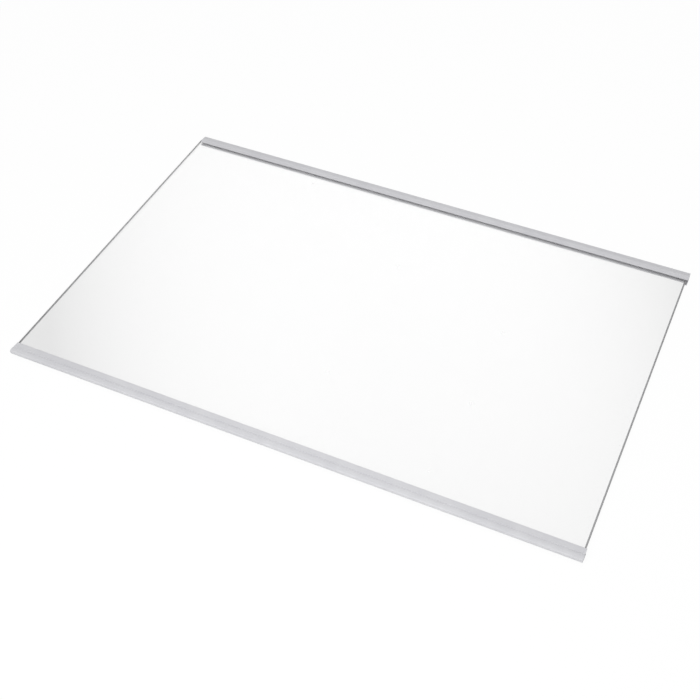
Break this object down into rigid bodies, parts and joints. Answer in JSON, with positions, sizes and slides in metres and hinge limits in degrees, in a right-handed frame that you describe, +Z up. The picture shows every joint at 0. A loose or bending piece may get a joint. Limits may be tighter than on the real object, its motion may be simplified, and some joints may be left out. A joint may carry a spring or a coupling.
{
  "type": "fridge glass shelf",
  "caption": "Flat glass shelf for a fridge: a clear toughened sheet with ground edges, held along its front and rear edges by push-on pale grey plastic channel strips.",
  "frame": {"origin": "under the middle of the glass's width and of the whole depth, at the level of both strips' undersides", "axes": "+X along the width, to the right as seen from the front; +Y to the rear; +Z up, out of the glass's upper face"},
  "size_m": [0.4765, 0.3132, 0.007],
  "materials": {
    "glass": "clear toughened float glass, polished faces, ground edges",
    "trim": "pale grey plastic with a soft satin surface"
  },
  "bodies": {
    "root": {"glass_pane": "glass", "front_trim": "trim", "rear_trim": "trim"}
  },
  "joints": []
}
